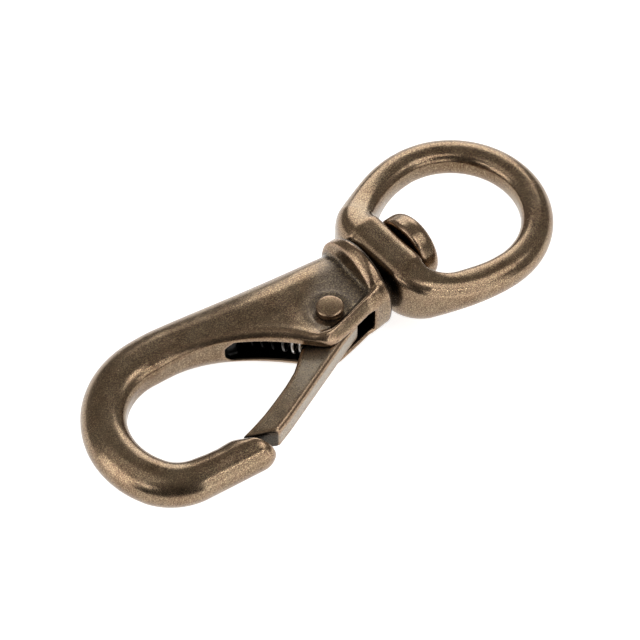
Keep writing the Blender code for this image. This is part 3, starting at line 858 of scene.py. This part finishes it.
class Nodes:
    """A small builder of shader nodes."""

    def __init__(self, name):
        self.material = bpy.data.materials.new(name)
        self.material.use_nodes = True
        self.tree = self.material.node_tree
        self.shader = self.tree.nodes["Principled BSDF"]
        self.place = self.add("ShaderNodeTexCoord").outputs["Object"]

    def add(self, kind, **values):
        node = self.tree.nodes.new(kind)
        for key, value in values.items():
            setattr(node, key, value)
        return node

    def link(self, source, target):
        self.tree.links.new(source, target)

    def noise(self, size_mm, detail=2.0, roughness=0.5):
        """Noise whose features are about size_mm across."""
        node = self.add("ShaderNodeTexNoise")
        node.inputs["Scale"].default_value = 1.0 / (size_mm * MM)
        node.inputs["Detail"].default_value = detail
        node.inputs["Roughness"].default_value = roughness
        self.link(self.place, node.inputs["Vector"])
        return node.outputs["Fac"]

    def ramp(self, source, *stops):
        """A ramp of (position, value or colour) stops."""
        node = self.add("ShaderNodeValToRGB")
        elements = node.color_ramp.elements
        while len(elements) < len(stops):
            elements.new(0.5)
        for element, (position, value) in zip(elements, stops):
            element.position = position
            colour = value if isinstance(value, tuple) else (value, value, value)
            element.color = (*colour, 1.0)
        self.link(source, node.inputs["Fac"])
        return node.outputs["Color"]

    def mix(self, share, first, second):
        """The first colour, turned into the second by the share."""
        node = self.add("ShaderNodeMix", data_type="RGBA")
        sockets = [s for s in node.inputs if s.type == "RGBA"]
        for socket, value in ((node.inputs[0], share), (sockets[0], first), (sockets[1], second)):
            if isinstance(value, tuple):
                socket.default_value = (*value, 1.0)
            elif isinstance(value, float):
                socket.default_value = value
            else:
                self.link(value, socket)
        return [s for s in node.outputs if s.type == "RGBA"][0]

    def math(self, operation, first, second):
        node = self.add("ShaderNodeMath", operation=operation)
        for socket, value in zip(node.inputs, (first, second)):
            if isinstance(value, float):
                socket.default_value = value
            else:
                self.link(value, socket)
        return node.outputs[0]

    def bump(self, *layers):
        """Stack bump layers of (height, depth in millimetres)."""
        normal = None
        for height, depth in layers:
            node = self.add("ShaderNodeBump")
            node.inputs["Strength"].default_value = 1.0
            node.inputs["Distance"].default_value = depth * MM
            self.link(height, node.inputs["Height"])
            if normal is not None:
                self.link(normal, node.inputs["Normal"])
            normal = node.outputs["Normal"]
        self.link(normal, self.shader.inputs["Normal"])


def plated_metal(name, dark, light, rough):
    """Lacquered antique brass: brown plating with golden speckle and edges rubbed to copper, painted
    shade darkening the corners, and black painted shade where it is marked.
    """
    n = Nodes(name)
    wear_and_shade = n.add("ShaderNodeAttribute", attribute_name="wear_and_shade").outputs["Fac"]
    dull = n.add("ShaderNodeAttribute", attribute_name="dull").outputs["Fac"]
    pale = n.add("ShaderNodeAttribute", attribute_name="pale").outputs["Fac"]
    painted_shade = n.add("ShaderNodeAttribute", attribute_name="painted_shade").outputs["Fac"]
    cloud = n.noise(CLOUD_MM, 2.0, 0.5)
    patch = n.noise(PATCH_MM, 3.0, 0.6)
    speck = n.noise(SPECK_MM, 2.0, 0.6)
    colour = n.mix(n.ramp(cloud, (0.28, 0.0), (0.72, 1.0)), dark, light)
    colour = n.mix(n.ramp(patch, (0.42, 0.0), (0.75, 0.5)), colour, PATCH_BROWN)
    edge = n.math("ADD", wear_and_shade, n.math("MULTIPLY", n.math("SUBTRACT", patch, 0.5), 0.10))
    colour = n.mix(n.ramp(edge, (0.54, 0.0), (0.66, 0.8)), colour, WORN_COPPER)
    colour = n.mix(n.math("MULTIPLY", pale, PALE_SHARE), colour, TUMBLED_GREY)
    colour = n.mix(n.math("MULTIPLY", dull, DULL_SHARE), colour, DULL_GREY)
    # Painted shade: corners and creases, where the stand-out measure is low, are darkened.
    colour = n.mix(n.ramp(wear_and_shade, (0.34, 0.8), (0.46, 0.0)), colour, CORNER_SHADE)
    colour = n.mix(n.ramp(speck, (0.52, 0.0), (0.65, 0.66)), colour, GOLD_FLECK)
    colour = n.mix(n.ramp(speck, (0.32, 0.75), (0.46, 0.0)), colour, DARK_PORE)
    # Painted shade: black where the castings are marked as hidden or in a gap.
    colour = n.mix(painted_shade, colour, SHADE_BLACK)
    n.link(colour, n.shader.inputs["Base Color"])
    n.shader.inputs["Metallic"].default_value = 1.0
    n.shader.inputs["Coat Weight"].default_value = COAT_WEIGHT
    n.shader.inputs["Coat Roughness"].default_value = COAT_ROUGHNESS
    roughness = n.ramp(patch, (0.3, rough - 0.05), (0.7, rough + 0.07))
    roughness = n.math("ADD", roughness, n.math("MULTIPLY", dull, DULL_ROUGHNESS))
    roughness = n.math("ADD", roughness, n.math("MULTIPLY", pale, PALE_ROUGHNESS))
    n.link(roughness, n.shader.inputs["Roughness"])
    n.bump((n.noise(WAVE_MM, 1.0), WAVE_DEPTH_MM), (n.noise(DIMPLE_MM, 2.0, 0.5), DIMPLE_DEPTH_MM),
           (n.ramp(speck, (0.25, 0.0), (0.55, 1.0)), SPECK_DEPTH_MM))
    return n.material


def wire_metal():
    """Drawn spring wire: bright by the gate, and painted black as shade further into the slot."""
    n = Nodes("spring_wire")
    depth = n.add("ShaderNodeAttribute", attribute_name="depth").outputs["Fac"]
    tarnish = n.noise(0.8, 3.0)
    bright = n.ramp(tarnish, (0.35, WIRE_TARNISHED), (0.7, WIRE_BRIGHT))
    # Painted shade: the turns deep in the slot are coloured black.
    colour = n.mix(n.ramp(depth, (0.22, 0.0), (0.34, 1.0)), bright, SHADE_BLACK)
    n.link(colour, n.shader.inputs["Base Color"])
    n.shader.inputs["Metallic"].default_value = 1.0
    n.link(n.ramp(tarnish, (0.3, 0.42), (0.7, 0.22)), n.shader.inputs["Roughness"])
    n.bump((n.noise(0.12, 2.0), 0.004))
    return n.material


def floor_material():
    """A white light table, whose glow drowns the shadows as in the photograph."""
    n = Nodes("white_table")
    shade = n.ramp(n.noise(3.0, 2.0), (0.3, TABLE_SHADES[0]), (0.7, TABLE_SHADES[1]))
    n.link(shade, n.shader.inputs["Base Color"])
    n.link(shade, n.shader.inputs["Emission Color"])
    n.shader.inputs["Emission Strength"].default_value = TABLE_GLOW
    n.shader.inputs["Roughness"].default_value = 0.9
    return n.material


# Studio.

VIEW_ELEVATION = math.radians(50.0)
VIEW_AZIMUTH = math.radians(-40.0)
VIEW_DISTANCE = 0.570
VIEW_LENS_MM = 219.4
VIEW_CENTRE = (0.0, -2.533, 0.0)
VIEW_SHIFT_Y = 2.0 / 640.0
SENSOR_MM = 36.0
TABLE_RADIUS = 1.5

# The room: (height of the direction, brightness) stops, its warm tint, and how dim it is in front.
ROOM_STOPS = [(0.0, 0.42), (0.06, 0.37), (0.2, 0.30), (0.9, 0.34)]
ROOM_TINT = (1.0, 0.94, 0.86)
ROOM_DIM = (("From Min", 0.1), ("From Max", 0.8), ("To Min", 1.0), ("To Max", 0.3))

# Where the lamps aim, in the drawing, and the lamps: name, aim, azimuth and elevation in degrees,
# then distance, width and height in metres, and radiance.
BOW_SIDE = (-25.0, -4.0, 0.0)
EYE_SIDE = (25.0, 0.0, 0.0)
MIDDLE = (0.0, 0.0, 0.0)
LAMPS = (
    ("back", EYE_SIDE, 2.0, 25.0, 0.27, 0.18, 0.18, 2.5),
    ("left", BOW_SIDE, -110.0, 17.0, 0.25, 0.16, 0.19, 2.6),
    ("left_high", MIDDLE, -105.0, 58.0, 0.35, 0.25, 0.22, 0.6),
    ("left_front", EYE_SIDE, -140.0, 30.0, 0.30, 0.06, 0.06, 3.5),
    ("right", EYE_SIDE, 146.0, 12.0, 0.09, 0.085, 0.05, 1.6),
    ("right_high", BOW_SIDE, 85.0, 46.0, 0.16, 0.08, 0.06, 1.9),
    ("top", EYE_SIDE, 135.0, 68.0, 0.09, 0.03, 0.02, 2.6),
    ("right_front", BOW_SIDE, 120.0, 36.0, 0.30, 0.09, 0.02, 8.0),
)


def floor():
    """The round table that the hook lies on."""
    mesh = bpy.data.meshes.new("table")
    bm = bmesh.new()
    bmesh.ops.create_circle(bm, cap_ends=True, segments=64, radius=TABLE_RADIUS)
    bm.to_mesh(mesh)
    bm.free()
    table = bpy.data.objects.new("table", mesh)
    bpy.context.scene.collection.objects.link(table)
    mesh.materials.append(floor_material())


def softbox(name, aim, azimuth, elevation, distance, width, height, radiance):
    """A rectangular lamp that faces a place; azimuth 0 is behind the part for the camera."""
    turn = VIEW_AZIMUTH - math.radians(azimuth)
    lift = math.radians(elevation)
    away = Vector((-math.sin(turn) * math.cos(lift), math.cos(turn) * math.cos(lift),
                   math.sin(lift)))
    light = bpy.data.lights.new(name, "AREA")
    light.shape = "RECTANGLE"
    light.size = width
    light.size_y = height
    light.energy = radiance * math.pi * width * height
    made = bpy.data.objects.new(name, light)
    bpy.context.scene.collection.objects.link(made)
    made.location = Vector(ORIGIN) + Vector(aim) * MM + away * distance
    made.rotation_euler = (-away).to_track_quat("-Z", "Y").to_euler()
    made.visible_camera = False


def surroundings():
    """A dim room with paler walls at table height, darkest on the camera's side."""
    world = bpy.data.worlds.new("studio")
    bpy.context.scene.world = world
    world.use_nodes = True
    tree = world.node_tree
    place = tree.nodes.new("ShaderNodeTexCoord")
    split = tree.nodes.new("ShaderNodeSeparateXYZ")
    ramp = tree.nodes.new("ShaderNodeValToRGB")
    elements = ramp.color_ramp.elements
    while len(elements) < len(ROOM_STOPS):
        elements.new(0.5)
    for element, (position, value) in zip(elements, ROOM_STOPS):
        element.position = position
        element.color = (*(value * part for part in ROOM_TINT), 1.0)
    facing = tree.nodes.new("ShaderNodeVectorMath")
    facing.operation = "DOT_PRODUCT"
    facing.inputs[1].default_value = (math.sin(VIEW_AZIMUTH), -math.cos(VIEW_AZIMUTH), 0.0)
    dim = tree.nodes.new("ShaderNodeMapRange")
    for socket, value in ROOM_DIM:
        dim.inputs[socket].default_value = value
    tree.links.new(place.outputs["Generated"], split.inputs[0])
    tree.links.new(place.outputs["Generated"], facing.inputs[0])
    tree.links.new(facing.outputs["Value"], dim.inputs["Value"])
    tree.links.new(split.outputs["Z"], ramp.inputs["Fac"])
    tree.links.new(ramp.outputs["Color"], tree.nodes["Background"].inputs["Color"])
    tree.links.new(dim.outputs["Result"], tree.nodes["Background"].inputs["Strength"])


def camera():
    """The camera at the photograph's angle and distance."""
    back = Vector((math.sin(VIEW_AZIMUTH) * math.cos(VIEW_ELEVATION),
                   -math.cos(VIEW_AZIMUTH) * math.cos(VIEW_ELEVATION), math.sin(VIEW_ELEVATION)))
    data = bpy.data.cameras.new("camera")
    data.lens = VIEW_LENS_MM
    data.sensor_width = SENSOR_MM
    data.shift_y = VIEW_SHIFT_Y
    data.clip_start = 0.01
    made = bpy.data.objects.new("camera", data)
    bpy.context.scene.collection.objects.link(made)
    made.location = Vector(ORIGIN) + Vector(VIEW_CENTRE) * MM + back * VIEW_DISTANCE
    made.rotation_euler = (-back).to_track_quat("-Z", "Y").to_euler()
    bpy.context.scene.camera = made


def main():
    """The whole scene."""
    cast = plated_metal("antique_brass", *PLATING, PLATING_ROUGHNESS)
    rubbed = plated_metal("rubbed_brass", *RUBBED, RUBBED_ROUGHNESS)
    hook_body(cast)
    gate(cast)
    swivel_eye(cast)
    swivel_rivet(cast)
    pivot_rivet(rubbed)
    gate_spring(wire_metal())
    floor()
    surroundings()
    for lamp in LAMPS:
        softbox(*lamp)
    camera()
    bpy.context.scene.view_settings.view_transform = "Standard"


main()
